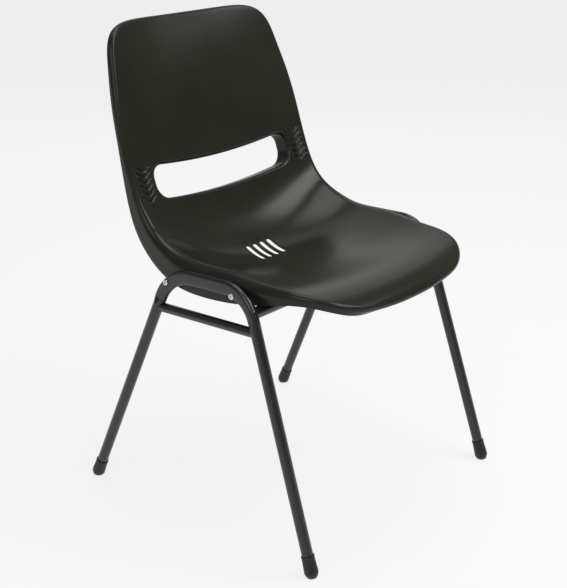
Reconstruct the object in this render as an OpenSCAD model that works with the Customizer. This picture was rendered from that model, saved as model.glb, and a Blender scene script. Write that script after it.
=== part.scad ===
// Choir chair: a one-piece moulded shell with a slot at the waist, screwed to the
// pressed side arches of a welded tube frame. The chairs stack and nothing moves.
// +Z is up and the sitter faces -Y, so the sitter's left is +X. Millimetres.
// The shell's datum is the line over the middle of the side arches.

/* [Frame] */
// Outside diameter of the frame tube
tube_d = 19; // [17:0.5:22]
// Wall of the frame tube
tube_wall = 1.2; // [0.9:0.1:1.8]
// Width of the tube where the arch is pressed flat
press_w = 11; // [10:0.5:13]
// Height of the arch at its front corner
arch_front_h = 445.5; // [435:0.5:460]
// Height of the arch at its rear corner
arch_rear_h = 439; // [428:0.5:450]
// How far the front corner of the arch lies ahead of the datum
arch_front_reach = 82.5; // [78:0.5:88]
// How far the rear corner of the arch lies behind the datum
arch_rear_reach = 87.5; // [82:0.5:93]
// How far the front feet stand ahead of the datum
front_foot_reach = 232; // [215:1:245]
// How far the rear feet stand behind the datum
rear_foot_reach = 281.5; // [262:0.5:295]
// How much wider the front feet stand than the seat
front_spread = 41; // [30:1:50]
// How much wider the rear feet stand than the front feet
rear_spread = 17; // [10:1:24]
// Bend radius of the front corner, at the tube's centre
front_bend_r = 63; // [54:1:68]
// Bend radius of the rear corner, at the tube's centre
rear_bend_r = 80; // [70:1:86]
// Length over which the pressed arch turns round again
blend_len = 15; // [12:1:20]
// Outside diameter of the stretcher tube
stretcher_d = 16; // [14:0.5:18]
// How far the stretcher meets the front leg below the arch's front corner
stretcher_front_drop = 62.5; // [60:0.5:76]
// How far the stretcher meets the rear leg below the arch's rear corner
stretcher_rear_drop = 64.5; // [61:0.5:76]
// How far the cross tube lies below the arch's front corner
cross_drop = 32.5; // [30:0.5:36]

/* [Foot tips] */
// Diameter of a tip where it meets the floor
tip_base_d = 25.5; // [24:0.5:28]
// Diameter of a tip below its lip
tip_top_d = 22.5; // [21.5:0.5:24]
// Length of a tip along its leg
tip_len = 37; // [32:1:42]
// Height of the lip round the top of a tip
tip_lip_h = 3; // [2:0.5:4]
// How far the lip stands out
tip_lip_out = 0.7; // [0.4:0.1:1.2]
// Rubber between the tube's end and the floor, along the leg
tip_floor = 7; // [5:0.5:9]
// How deep the flat that rests on the floor is worn into the round end
tip_flat_deep = 1.2; // [0.8:0.1:2]

/* [Screws] */
// Diameter of a screw head
head_d = 10.4; // [9:0.2:12]
// Height of a screw head
head_h = 3; // [2.4:0.1:3.6]
// Diameter of a screw shank
shank_d = 5; // [4:0.5:6]
// Length of a screw below its head
screw_len = 22; // [19:1:24]
// Play round the shank in the tube
shank_play = 0.4; // [0.3:0.1:0.6]
// Depth of the cross recess
recess_deep = 1.8; // [1.2:0.1:2.2]
// Length of one bar of the cross recess
recess_len = 5.4; // [4.4:0.2:6.4]
// Width of one bar of the cross recess
recess_w = 1.3; // [1:0.1:1.6]
// Front screw, behind the front corner of the arch
front_screw_back = 28; // [25:1:31]
// Front screw, below the front corner of the arch
front_screw_drop = 11; // [10:0.5:12]
// Rear screw, behind the rear corner of the arch
rear_screw_back = 4; // [2:1:6]
// Rear screw, below the rear corner of the arch
rear_screw_drop = 16; // [14:0.5:18]

/* [Seat shell] */
// Width of the seat over its side rims
seat_w = 469; // [455:1:485]
// Length of the seat that the side curve follows
seat_d = 440; // [425:1:455]
// Rise of the back over the seat's datum
back_h = 375; // [355:1:390]
// Height of the seat's datum below the front corner of the arch
datum_drop = 3.5; // [1:0.5:6]
// Wall of the moulding
wall = 3.6; // [3:0.1:4.5]
// How far the sides rise over the middle, at most
dish_max = 54; // [46:1:60]
// Depth of the turned-down edge, at most
skirt_max = 48; // [42:1:54]
// Radius of the rolled rim round the top of the back
rim_r = 6; // [5:0.5:7]
// Gap between the shell's side and the pressed arch
side_gap = 0.4; // [0.3:0.1:1]

/* [Waist slot] */
// Clear length of the slot
slot_w = 342; // [315:1:350]
// Clear height of the slot
slot_h = 60; // [52:1:62]
// Corner radius of the slot
slot_corner_r = 24; // [20:1:26]
// Radius of the roll round the slot
slot_roll_r = 6; // [5:0.5:7]
// Depth of the edge turned back round the slot
slot_edge = 23; // [18:1:26]

/* [Flex grooves] */
// Distance between the wavy grooves at the ends of the slot
groove_pitch = 10.5; // [10:0.1:11]
// Width of a groove
groove_w = 4; // [3.4:0.2:5]
// Depth of a groove
groove_deep = 1.3; // [0.8:0.1:1.8]
// Height of the wave from its middle
groove_wave = 4; // [3:0.2:4.6]
// Length of one wave
groove_wave_len = 32; // [30:1:36]

/* [Drain slots] */
// Width of a drain slot
drain_w = 10.5; // [8:0.5:11.5]
// Length of a drain slot that goes through
drain_len = 52; // [44:1:58]
// Length of the shallow tail behind a drain slot
drain_tail = 27; // [20:1:32]
// Depth of the tail
drain_tail_deep = 1.6; // [1.2:0.1:2]
// Distance between the drain slots
drain_pitch = 15.3; // [14:0.1:17]
// How far the front ends lie behind the datum
drain_front = 70; // [64:1:76]

/* [Fixing bosses] */
// Diameter of a boss for a screw
boss_d = 16; // [14:0.5:17]
// Length of a boss inside the skirt
boss_in = 14; // [12:0.5:16]

/* [Hidden] */

overrun = 1;         // how far a cut runs past what it cuts
weld_sink = 0.05;    // how far a run's skin is held inside the bend that it meets
weld_lap = 0.5;      // how far a run reaches into that bend
round_sink = 0.3;    // how far a blend's round end is held inside the leg that it meets
round_fn = 72;
press_fn = 24;
fine_fn = 32;
bore_fn = 16;

// The shell is lofted along its middle line from the front lip, under the sitter and
// up to the top of the back. Each station is written as shares of the named sizes:
// [place along seat_d, height over the datum along back_h].
line_shares = [
    [-0.535, -0.070], [-0.520, -0.035], [-0.445, 0.000], [-0.345, 0.000], [-0.210, -0.030],
    [-0.060, -0.055], [0.075, -0.085], [0.195, -0.090], [0.310, -0.015], [0.400, 0.130],
    [0.440, 0.330], [0.480, 0.510], [0.525, 0.680], [0.580, 0.840], [0.645, 0.995]
];
// Half width of the shell over its rim at each station, in half seat widths
half_w_shares = [
    0.800, 0.915, 0.990, 1.010, 0.985, 0.980, 0.970, 0.965,
    0.970, 0.960, 0.965, 0.965, 0.945, 0.910, 0.980
];
// How far the sides stand over the middle at each station
dish_shares = [
    -0.035, -0.065, 0.100, 0.305, 0.490, 0.790, 0.885, 0.960,
    0.845, 0.370, 0.090, 0.025, 0.070, 0.160, 0.415
];
// Depth of the turned-down edge at each station
skirt_shares = [
    0.030, 0.210, 0.145, 0.050, 0.335, 0.620, 0.615, 0.645,
    0.690, 0.545, 0.275, 0.105, 0.145, 0.100, 0.030
];
// Radius of the rolled rim at each station, in rim radii
rim_shares = [
    0.995, 1.295, 1.245, 1.495, 2.890, 3.065, 3.005, 2.965,
    2.540, 1.800, 1.135, 0.895, 1.175, 1.295, 0.865
];
slot_place_share = 0.698;    // the slot's place along the stations
slot_bow_share = 0.012;      // how much the slot bows up at its ends
crown_share = 0.004;         // how much the top edge falls towards its corners
skirt_splay_share = -0.11;   // how much the turned-down edge leans out
seat_round_share = 2.1;      // how late the seat's section turns up, as an exponent
back_round_share = 2.3;      // the same for the back
top_corner_share = 6.7;      // how square the corners of the back are
front_corner_share = 2.5;    // how square the front of the seat is
section_mid_share = 0.5;     // where the seat's section starts to become the back's
section_turn_share = 0.12;   // over how much of the stations it does

side_steps = 26;    // steps round the outline along each side
edge_steps = 7;     // steps along half the top or half the front
panel_steps = 18;   // rings between the slot and the rim
lip_steps = 3;      // rings round the slot's rolled edge
rim_steps = 4;      // rings round the rolled rim
line_steps = 120;   // steps in which a place along the seat is looked up
groove_count = 6;
groove_steps = 5;
drain_count = 4;
tail_steps = 3;

// Places in the side plane, as [back, up]
front_foot = [-front_foot_reach, 0];
rear_foot = [rear_foot_reach, 0];
front_corner = [-arch_front_reach, arch_front_h];
rear_corner = [arch_rear_reach, arch_rear_h];
press_h = press_w + PI * (tube_d - press_w) / 2;
press_mid_h = (arch_front_h + arch_rear_h) / 2;
arch_mid_x = seat_w / 2 + side_gap + press_w / 2;

// The side plane stands on the feet, leans in to the arch and toes in to the front
front_span = seat_w + front_spread;
foot_slope = rear_spread / 2 / (front_foot_reach + rear_foot_reach);
side_toe = atan(foot_slope);
side_x = front_span / 2 + foot_slope * front_foot_reach;
side_lean = atan((side_x - arch_mid_x) / press_mid_h);

tail_width_share = 0.55;     // width of a tail against its drain slot

function unit(v) = v / norm(v);
function turn(a, b) = acos(a * b);
function smooth(x) = let(k = min(max(x, 0), 1)) k * k * (3 - 2 * k);

rear_dir = unit(rear_corner - rear_foot);
top_dir = unit(front_corner - rear_corner);
front_dir = unit(front_foot - front_corner);
rear_cut = rear_bend_r * tan(turn(rear_dir, top_dir) / 2);
front_cut = front_bend_r * tan(turn(top_dir, front_dir) / 2);
rear_bend_low = rear_corner - rear_dir * rear_cut;
rear_bend_top = rear_corner + top_dir * rear_cut;
front_bend_top = front_corner - top_dir * front_cut;
front_bend_low = front_corner + front_dir * front_cut;
rear_round = rear_bend_low - rear_dir * blend_len;
front_round = front_bend_low + front_dir * blend_len;
front_screw = front_corner + [front_screw_back, -front_screw_drop];
rear_screw = rear_corner + [rear_screw_back, -rear_screw_drop];

function on_leg(foot, corner, h) = foot + (corner - foot) * h / corner.y;
// A place in the left side plane, as a point of the chair
function in_plane(p, out = 0) =
    let(
        x = out * cos(side_lean) - p.y * sin(side_lean),
        z = out * sin(side_lean) + p.y * cos(side_lean)
    )
    [
        side_x + x * cos(side_toe) + p.x * sin(side_toe),
        p.x * cos(side_toe) - x * sin(side_toe),
        z
    ];

// A cubic B-spline through the stations, with the end stations mirrored out
function eased(c) = concat([2 * c[0] - c[1]], c, [2 * c[len(c) - 1] - c[len(c) - 2]]);
function spline_at(c, t) =
    let(
        n = len(c) - 3,
        x = min(max(t, 0), 1) * n,
        i = min(floor(x), n - 1),
        f = x - i,
        g = 1 - f
    )
    (g * g * g * c[i] + (3 * f * f * f - 6 * f * f + 4) * c[i + 1]
        + (3 * g * g * g - 6 * g * g + 4) * c[i + 2] + f * f * f * c[i + 3]) / 6;
function slope_at(c, t) =
    let(
        n = len(c) - 3,
        x = min(max(t, 0), 1) * n,
        i = min(floor(x), n - 1),
        f = x - i,
        g = 1 - f
    )
    (-g * g * c[i] + (3 * f * f - 4 * f) * c[i + 1]
        + (4 * g - 3 * g * g) * c[i + 2] + f * f * c[i + 3]) * n / 2;

datum_h = arch_front_h - datum_drop;
line_pts = eased([for (s = line_shares) [s.x * seat_d, datum_h + s.y * back_h]]);
rim_pts = eased(rim_r * rim_shares);
half_w_pts = eased(seat_w / 2 * half_w_shares) - rim_pts;
dish_pts = eased(dish_max * dish_shares);
skirt_pts = eased(skirt_max * skirt_shares);
slot_speed = norm(slope_at(line_pts, slot_place_share));

// The sitter's side of the middle line, as [back, up]
function line_normal(t) = let(d = unit(slope_at(line_pts, t))) [-d.y, d.x];
// A point of the upper face: t runs along the stations, v across the chair
function face_at(t, v) =
    let(
        c = spline_at(line_pts, t),
        n = line_normal(t),
        k = smooth((t - section_mid_share) / section_turn_share),
        p = seat_round_share * (1 - k) + back_round_share * k,
        h = spline_at(dish_pts, t) * pow(abs(v) / spline_at(half_w_pts, t), p)
    )
    [v, c.x + n.x * h, c.y + n.y * h];
// The station at which the seat's middle line lies y behind the datum
function line_place(y) =
    let(
        ts = [for (i = [0 : line_steps]) section_mid_share * (i / line_steps / 2 + 1 / 2)],
        gaps = [for (t = ts) abs(spline_at(line_pts, t).x - y)]
    )
    ts[search(min(gaps), gaps)[0]];
// The face's normal on the sitter's side, by small steps along and across
step_share = 0.001;
step_len = seat_w * step_share;
function face_normal(t, v) =
    let(
        dt = face_at(t + step_share, v) - face_at(t - step_share, v),
        dv = face_at(t, v + step_len) - face_at(t, v - step_len)
    )
    unit(cross(dv, dt));

// Places round a square, from the middle of the top over the left side and back
square_ring = concat(
    [for (i = [0 : edge_steps - 1]) [1, i / edge_steps]],
    [for (i = [0 : side_steps - 1]) [1 - 2 * i / side_steps, 1]],
    [for (i = [0 : 2 * edge_steps - 1]) [-1, 1 - i / edge_steps]],
    [for (i = [0 : side_steps - 1]) [-1 + 2 * i / side_steps, -1]],
    [for (i = [0 : edge_steps - 1]) [1, -1 + i / edge_steps]]
);
ring_count = len(square_ring);

// The outline of the shell as [t, v], a square drawn in to round corners
function outline_at(q) =
    let(
        p = q.x > 0 ? top_corner_share : front_corner_share,
        d = pow(pow(abs(q.x), p) + pow(abs(q.y), p), 1 / p),
        t = (1 + q.x / d) / 2,
        b = q.y / d
    )
    [t - (q.x > 0 ? crown_share * b * b * q.x : 0), b * spline_at(half_w_pts, t)];

// The outline of the slot as [t, v], a long rectangle with round corners
slot_half = [slot_h / 2 + slot_roll_r, slot_w / 2 + slot_roll_r];
slot_corner = slot_corner_r + slot_roll_r;
function slot_at(q) =
    let(
        at = [q.x * slot_half.x, q.y * slot_half.y],
        core = [
            min(max(at.x, slot_corner - slot_half.x), slot_half.x - slot_corner),
            min(max(at.y, slot_corner - slot_half.y), slot_half.y - slot_corner)
        ],
        p = core + unit(at - core) * slot_corner
    )
    [
        slot_place_share + p.x / slot_speed + slot_bow_share * pow(p.y / slot_half.y, 2),
        p.y
    ];

// A rolled edge: from the face's edge round to the turned direction and along it.
// Each entry is a point of the outer face with the way its wall faces.
function rolled(at, out, turned, r, depth, steps) =
    let(
        a = acos(out * turned),
        m = unit(turned - out * cos(a)),
        end = at + r * (sin(a) * out + (1 - cos(a)) * m),
        face = cos(a) * -m + sin(a) * out
    )
    concat(
        [for (i = [1 : steps])
            let(w = a * i / steps)
            [at + r * (sin(w) * out + (1 - cos(w)) * m), sin(w) * out - cos(w) * m]],
        [[end + turned * depth, face]]
    );

// The way out of a ring of points at point i, square to the ring and to the face
function ring_out(ring, i, n) =
    let(last = len(ring) - 1)
    unit(cross(n, ring[i == last ? 0 : i + 1] - ring[i == 0 ? last : i - 1]));

// One closed section of the moulding, from the slot's edge to the skirt's and back
function section(i, slot_ring, rim_ring) =
    let(
        s = slot_at(square_ring[i]),
        e = outline_at(square_ring[i]),
        ns = face_normal(s.x, s.y),
        ne = face_normal(min(e.x, 1 - step_share), e.y),
        cs = line_normal(s.x),
        ce = line_normal(e.x),
        slot_out = -ring_out(slot_ring, i, ns),
        rim_out = ring_out(rim_ring, i, ne),
        slot_turned = -[0, cs.x, cs.y],
        rim_turned = unit(skirt_splay_share * rim_out - [0, ce.x, ce.y]),
        panel = [for (k = [0 : panel_steps])
            let(p = s + (e - s) * k / panel_steps)
            [face_at(p.x, p.y), face_normal(min(p.x, 1 - step_share), p.y)]],
        slot_side = rolled(
            panel[0][0], slot_out, slot_turned, slot_roll_r, slot_edge, lip_steps
        ),
        rim_side = rolled(
            panel[panel_steps][0], rim_out, rim_turned,
            spline_at(rim_pts, e.x), spline_at(skirt_pts, e.x), rim_steps
        ),
        upper = concat([for (k = [len(slot_side) - 1 : -1 : 0]) slot_side[k]], panel, rim_side)
    )
    concat(
        [for (p = upper) p[0]],
        [for (k = [len(upper) - 1 : -1 : 0]) upper[k][0] - wall * upper[k][1]]
    );

module skin() {
    slot_ring = [for (q = square_ring) let(s = slot_at(q)) face_at(s.x, s.y)];
    rim_ring = [for (q = square_ring) let(e = outline_at(q)) face_at(e.x, e.y)];
    sections = [for (i = [0 : ring_count - 1]) section(i, slot_ring, rim_ring)];
    m = len(sections[0]);
    polyhedron(
        points = [for (s = sections) each s],
        faces = [for (i = [0 : ring_count - 1], k = [0 : m - 1])
            let(
                a = i * m + k,
                b = i * m + (k + 1) % m,
                c = ((i + 1) % ring_count) * m + (k + 1) % m,
                d = ((i + 1) % ring_count) * m + k
            )
            each [[a, b, c], [a, c, d]]]
    );
}

// The rolled edge at the middle of the top, the rearmost part of the chair
function top_roll() =
    let(
        t = outline_at([1, 0]).x,
        n = [0, line_normal(t).x, line_normal(t).y],
        o = [0, n.z, -n.y]
    )
    rolled(
        face_at(t, 0), o, unit(skirt_splay_share * o - n),
        spline_at(rim_pts, t), spline_at(skirt_pts, t), rim_steps
    );

// Everything is drawn round the datum and set so that the origin is mid depth
tip_centre_len = (tip_base_d / 2 - tip_flat_deep) / cos(side_lean);
back_edge = max([for (p = top_roll()) p[0].y]);
front_edge = front_foot.x + tip_centre_len * -front_dir.x / -front_dir.y - tip_base_d / 2;
mid_y = (back_edge + front_edge) / 2;

module placed() {
    translate([0, -mid_y, 0]) children();
}

// side is 1 for the sitter's left and -1 for the right
module on_side(side) {
    if (side > 0) {
        children();
    } else {
        mirror([1, 0, 0]) children();
    }
}

module side_plane() {
    translate([side_x, 0, 0]) rotate([0, -side_lean, -side_toe]) children();
}

// Sets children drawn up +Z along the way from p to q in the side plane
module along(p, q) {
    translate([0, p.x, p.y]) rotate([-atan2((q - p).x, (q - p).y), 0, 0]) children();
}

// The pressed section, tall along x, drawn inset by the wall for the bore
module pressed(inset) {
    r = press_w / 2 - inset;
    h = (press_h - press_w) / 2;
    polygon([for (i = [0 : press_fn - 1])
        let(a = 360 * (i + 1 / 2) / press_fn)
        [r * cos(a) + sign(cos(a)) * h, r * sin(a)]]);
}

module bend(centre, from, r, angle, inset) {
    translate([0, centre.x, centre.y]) rotate([90, 0, 90]) rotate([0, 0, from])
        rotate_extrude(angle = angle, $fn = round_fn) translate([r, 0]) pressed(inset);
}

// The pressed part of the arch: two bends, the run between them and the two blends
module arch(inset) {
    rear_in = [-rear_dir.y, rear_dir.x];
    front_in = [-front_dir.y, front_dir.x];
    rear_centre = rear_bend_low + rear_in * rear_bend_r;
    front_centre = front_bend_low + front_in * front_bend_r;
    top_in = [-top_dir.y, top_dir.x];
    bend(rear_centre, atan2(-rear_in.y, -rear_in.x), rear_bend_r, turn(rear_dir, top_dir), inset);
    bend(front_centre, atan2(-top_in.y, -top_in.x), front_bend_r, turn(top_dir, front_dir), inset);
    along(rear_bend_top - top_dir * weld_lap, front_bend_top)
        linear_extrude(norm(front_bend_top - rear_bend_top) + 2 * weld_lap)
            rotate(90) pressed(inset + weld_sink);
    blend(rear_bend_low, rear_round, inset);
    blend(front_bend_low, front_round, inset);
}

module blend(p, q, inset) {
    len = norm(q - p);
    along(p, q) hull() {
        translate([0, 0, -weld_lap]) linear_extrude(weld_lap) rotate(90) pressed(inset + weld_sink);
        translate([0, 0, len])
            cylinder(h = weld_lap, r = tube_d / 2 - inset - round_sink, $fn = fine_fn);
    }
}

module leg(foot, top, inset) {
    lift = inset > 0 ? tip_floor - overrun : tip_floor;
    start = foot + unit(top - foot) * lift;
    along(start, top) cylinder(h = norm(top - start), d = tube_d - 2 * inset, $fn = round_fn);
}

module side_solid(inset) {
    arch(inset);
    leg(rear_foot, rear_round, inset);
    leg(front_foot, front_round, inset);
}

module side_frame(side) {
    color("#2b2b2d") placed() on_side(side) side_plane() difference() {
        side_solid(0);
        side_solid(tube_wall);
        for (p = [front_screw, rear_screw])
            translate([-press_w, p.x, p.y]) rotate([0, 90, 0])
                cylinder(h = 2 * press_w, d = shank_d + 2 * shank_play, $fn = fine_fn);
    }
}

module stretcher(side) {
    front = on_leg(front_foot, front_corner, arch_front_h - stretcher_front_drop);
    rear = on_leg(rear_foot, rear_corner, arch_rear_h - stretcher_rear_drop);
    len = norm(front - rear);
    color("#2b2b2d") placed() on_side(side) side_plane() difference() {
        along(rear, front) cylinder(h = len, d = stretcher_d, $fn = round_fn);
        along(rear, front) translate([0, 0, -overrun])
            cylinder(h = len + 2 * overrun, d = stretcher_d - 2 * tube_wall, $fn = round_fn);
        side_solid(0);
    }
}

module cross_tube() {
    at = in_plane(on_leg(front_foot, front_corner, arch_front_h - cross_drop));
    color("#2b2b2d") placed() difference() {
        translate([-at.x, at.y, at.z]) rotate([0, 90, 0])
            cylinder(h = 2 * at.x, d = tube_d, $fn = round_fn);
        translate([-at.x - overrun, at.y, at.z]) rotate([0, 90, 0])
            cylinder(h = 2 * (at.x + overrun), d = tube_d - 2 * tube_wall, $fn = round_fn);
        for (side = [-1, 1]) on_side(side) side_plane() {
            arch(0);
            leg(front_foot, front_round, 0);
        }
    }
}

// A ferrule turned round its leg's axis, with a round end worn flat on the floor
module foot_tip(side, foot, corner) {
    r = tip_base_d / 2;
    centre_h = tip_centre_len / unit(corner - foot).y;
    top_r = tip_top_d / 2;
    bore_r = tube_d / 2;
    profile = concat(
        [for (i = [0 : fine_fn / 4]) let(a = 360 * i / fine_fn - 90)
            [r * cos(a), centre_h + r * sin(a)]],
        [
            [top_r, tip_len - tip_lip_h],
            [top_r + tip_lip_out, tip_len - tip_lip_h + tip_lip_out],
            [top_r + tip_lip_out, tip_len - tip_lip_out],
            [top_r, tip_len],
            [bore_r, tip_len],
            [bore_r, tip_floor],
            [0, tip_floor]
        ]
    );
    color("#1b1b1c") placed() on_side(side) difference() {
        side_plane() along(foot, corner) rotate_extrude($fn = round_fn) polygon(profile);
        translate([0, foot.x, -tip_base_d])
            linear_extrude(tip_base_d) square(2 * side_x + 2 * tip_base_d, center = true);
    }
}

module screw(side, p) {
    color("#d7d7d4") placed() on_side(side) side_plane()
        translate([press_w / 2, p.x, p.y]) rotate([0, 90, 0]) difference() {
            union() {
                cylinder(h = head_h / 2, d = head_d, $fn = round_fn);
                translate([0, 0, head_h / 2])
                    cylinder(h = head_h / 2, d1 = head_d, d2 = head_d - head_h, $fn = round_fn);
                translate([0, 0, -screw_len]) cylinder(h = screw_len, d = shank_d, $fn = round_fn);
            }
            for (a = [0, 90]) rotate(a) translate([-recess_len / 2, -recess_w / 2, head_h - recess_deep])
                cube([recess_len, recess_w, recess_deep + overrun]);
        }
}

// How far from the middle the shell's side stands beside a place in the side plane
function side_at(p) =
    let(
        ts = [for (i = [0 : side_steps]) section_mid_share * (i / side_steps + 1 / 2)],
        gaps = [for (t = ts) abs(face_at(t, spline_at(half_w_pts, t)).y - p.x)],
        near = search(min(gaps), gaps)[0]
    )
    spline_at(half_w_pts, ts[near]) + spline_at(rim_pts, ts[near]);

// A boss inside the skirt reaches out to the face of the pressed tube
module boss(p) {
    face_x = in_plane(p, -press_w / 2 - side_gap).x;
    side_plane() translate([-press_w / 2 - side_gap, p.x, p.y]) rotate([0, -90, 0])
        cylinder(h = face_x - side_at(p) + boss_in, d = boss_d, $fn = bore_fn);
}

module boss_bore(p) {
    side_plane() translate([press_w / 2 - screw_len - overrun, p.x, p.y]) rotate([0, 90, 0])
        cylinder(h = screw_len + overrun, d = shank_d, $fn = bore_fn);
}

// A groove follows a wave across the strip between the slot's end and the rim
module wavy_groove(row) {
    from_v = slot_half.y + groove_w;
    to_v = spline_at(half_w_pts, slot_place_share) - groove_w;
    mid = slot_place_share + slot_bow_share;
    for (i = [0 : groove_steps - 1]) hull() for (k = [0, 1]) {
        v = from_v + (to_v - from_v) * (i + k) / groove_steps;
        s = groove_pitch * (row - (groove_count - 1) / 2)
            + groove_wave * cos(360 * (v - from_v) / groove_wave_len);
        t = mid + s / slot_speed;
        n = face_normal(t, v);
        translate(face_at(t, v) + n * (groove_w / 2 - groove_deep)) sphere(d = groove_w, $fn = 4);
    }
}

module drain_slots() {
    for (i = [0 : drain_count - 1]) {
        x = drain_pitch * (i - (drain_count - 1) / 2);
        translate([x, drain_front, datum_h - dish_max]) linear_extrude(dish_max) hull() {
            translate([0, drain_w / 2]) circle(d = drain_w, $fn = bore_fn);
            translate([0, drain_len - drain_w / 2]) circle(d = drain_w, $fn = bore_fn);
        }
    }
}

// Behind each drain slot the moulding goes on as a shallow blind groove
module drain_tails() {
    for (i = [0 : drain_count - 1], k = [0 : tail_steps - 1]) hull() for (j = [0, 1]) {
        x = drain_pitch * (i - (drain_count - 1) / 2);
        y = drain_front + drain_len - drain_w / 2 + drain_tail * (k + j) / tail_steps;
        c = line_place(y);
        n = line_normal(c);
        at = face_at(c, x);
        translate(at - drain_tail_deep * [0, n.x, n.y]) rotate([atan2(-n.x, n.y), 0, 0])
            cylinder(h = drain_w, d = drain_w * tail_width_share, $fn = bore_fn);
    }
}

module seat_shell() {
    color("#2a2a29") placed() difference() {
        union() {
            skin();
            for (side = [-1, 1]) on_side(side) {
                boss(front_screw);
                boss(rear_screw);
            }
        }
        drain_slots();
        drain_tails();
        for (side = [-1, 1]) on_side(side) {
            boss_bore(front_screw);
            boss_bore(rear_screw);
            for (row = [0 : groove_count - 1]) wavy_groove(row);
        }
    }
}

seat_shell();
side_frame(1);  // side_frame_left
side_frame(-1);  // side_frame_right
stretcher(1);  // stretcher_left
stretcher(-1);  // stretcher_right
cross_tube();
foot_tip(1, front_foot, front_corner);  // foot_tip_front_left
foot_tip(-1, front_foot, front_corner);  // foot_tip_front_right
foot_tip(1, rear_foot, rear_corner);  // foot_tip_rear_left
foot_tip(-1, rear_foot, rear_corner);  // foot_tip_rear_right
screw(1, front_screw);  // screw_front_left
screw(-1, front_screw);  // screw_front_right
screw(1, rear_screw);  // screw_rear_left
screw(-1, rear_screw);  // screw_rear_right
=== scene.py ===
import math
import bmesh
import bpy
import numpy as np
from mathutils import Matrix, Vector


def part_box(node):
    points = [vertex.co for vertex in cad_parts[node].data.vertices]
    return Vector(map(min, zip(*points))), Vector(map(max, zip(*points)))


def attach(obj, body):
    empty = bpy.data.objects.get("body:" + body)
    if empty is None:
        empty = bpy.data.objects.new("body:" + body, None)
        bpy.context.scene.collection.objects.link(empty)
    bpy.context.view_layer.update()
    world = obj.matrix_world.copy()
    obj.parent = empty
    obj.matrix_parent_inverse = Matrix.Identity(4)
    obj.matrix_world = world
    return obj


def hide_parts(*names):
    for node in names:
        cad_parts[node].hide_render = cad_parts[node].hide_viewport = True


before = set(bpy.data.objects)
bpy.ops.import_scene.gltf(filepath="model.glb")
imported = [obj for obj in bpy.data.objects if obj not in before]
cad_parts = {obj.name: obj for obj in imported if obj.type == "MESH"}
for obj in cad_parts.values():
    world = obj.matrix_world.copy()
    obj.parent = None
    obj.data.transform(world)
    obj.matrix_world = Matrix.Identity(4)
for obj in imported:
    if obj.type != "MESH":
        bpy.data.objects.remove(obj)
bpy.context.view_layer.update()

mm = 0.001

# sizes are in millimetres, and depth counts back from a line under the middle of the side arches
tube = {
    "radius": 9.5, "pressWidth": 11, "corners": 48,
    "archFrontHeight": 445.5, "archRearHeight": 439, "archFrontReach": 82.5, "archRearReach": 87.5,
    "frontFootReach": 232, "rearFootReach": 281.5, "frontSpan": 510, "rearSpan": 527,
    "frontBend": 63, "rearBend": 80, "bendSteps": 26,
    "pressLeft": 0.35,  # the share of the press that is left below the front bend
    "blend": 15, "blendSteps": 8,  # the run over which the pressed tube turns round again
}
stretchers = {"radius": 8, "front": 383, "rear": 374.5, "cross": 413}  # heights on the legs
shell = {
    "seatWidth": 469, "seatLength": 440, "backRise": 375, "datum": 441.85,
    "wall": 3.6, "dish": 54, "skirt": 48, "rim": 6, "gap": 0.4, "edgeRound": 0.9, "edgeAngle": 60,
    "slotWidth": 339, "slotHeight": 58.8, "slotCorner": 24, "slotRoll": 6, "slotEdge": 23,
    "slotPlace": 0.698, "slotBow": 0.012, "crown": 0.004, "splay": -0.11,
    "seatRound": 2.1, "backRound": 2.3, "topCorner": 6.7, "frontCorner": 2.5,
    "sectionMid": 0.5, "sectionTurn": 0.12,
    # the tables run from the front edge to the top, as shares of the sizes above
    "line": [
        [-0.535, -0.070], [-0.520, -0.035], [-0.445, 0.000], [-0.345, 0.000], [-0.210, -0.030],
        [-0.060, -0.055], [0.075, -0.085], [0.195, -0.090], [0.310, -0.015], [0.400, 0.130],
        [0.440, 0.330], [0.480, 0.510], [0.525, 0.680], [0.580, 0.840], [0.645, 0.995],
    ],
    "halfWidth": [
        0.800, 0.915, 0.990, 1.010, 0.985, 0.980, 0.970, 0.965,
        0.970, 0.960, 0.965, 0.965, 0.945, 0.910, 0.980,
    ],
    "dishShares": [
        -0.035, -0.065, 0.100, 0.305, 0.490, 0.790, 0.885, 0.960,
        0.845, 0.370, 0.090, 0.025, 0.070, 0.160, 0.415,
    ],
    "skirtShares": [
        0.030, 0.210, 0.145, 0.170, 0.305, 0.680, 0.660, 0.665,
        0.690, 0.545, 0.275, 0.105, 0.145, 0.100, 0.030,
    ],
    "rimShares": [
        0.995, 1.295, 1.245, 1.495, 2.890, 3.065, 3.005, 2.965,
        2.540, 1.800, 1.135, 0.895, 1.175, 1.295, 0.860,
    ],
    "columns": 96, "crowding": 0.45,  # how far the columns crowd towards the sides
    "seatRows": 92, "backRows": 30, "sideRows": 92, "rings": 34, "slotFrom": 0.22, "slotTo": 0.65,
    "rollSteps": 9, "skirtSteps": 5, "slotEdgeSteps": 4, "shadeAngle": 32,
}


def unit(v):
    return v / np.linalg.norm(v, axis=-1, keepdims=True)


def turnBetween(a, b):
    return math.acos(max(-1, min(1, float(np.dot(a, b)))))


def inPlane(p):  # a place of the side plane, [back, up], as a point
    return (0, p[0], p[1])


def onLeg(foot, corner, height):
    return foot + (corner - foot) * height / corner[1]


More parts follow.
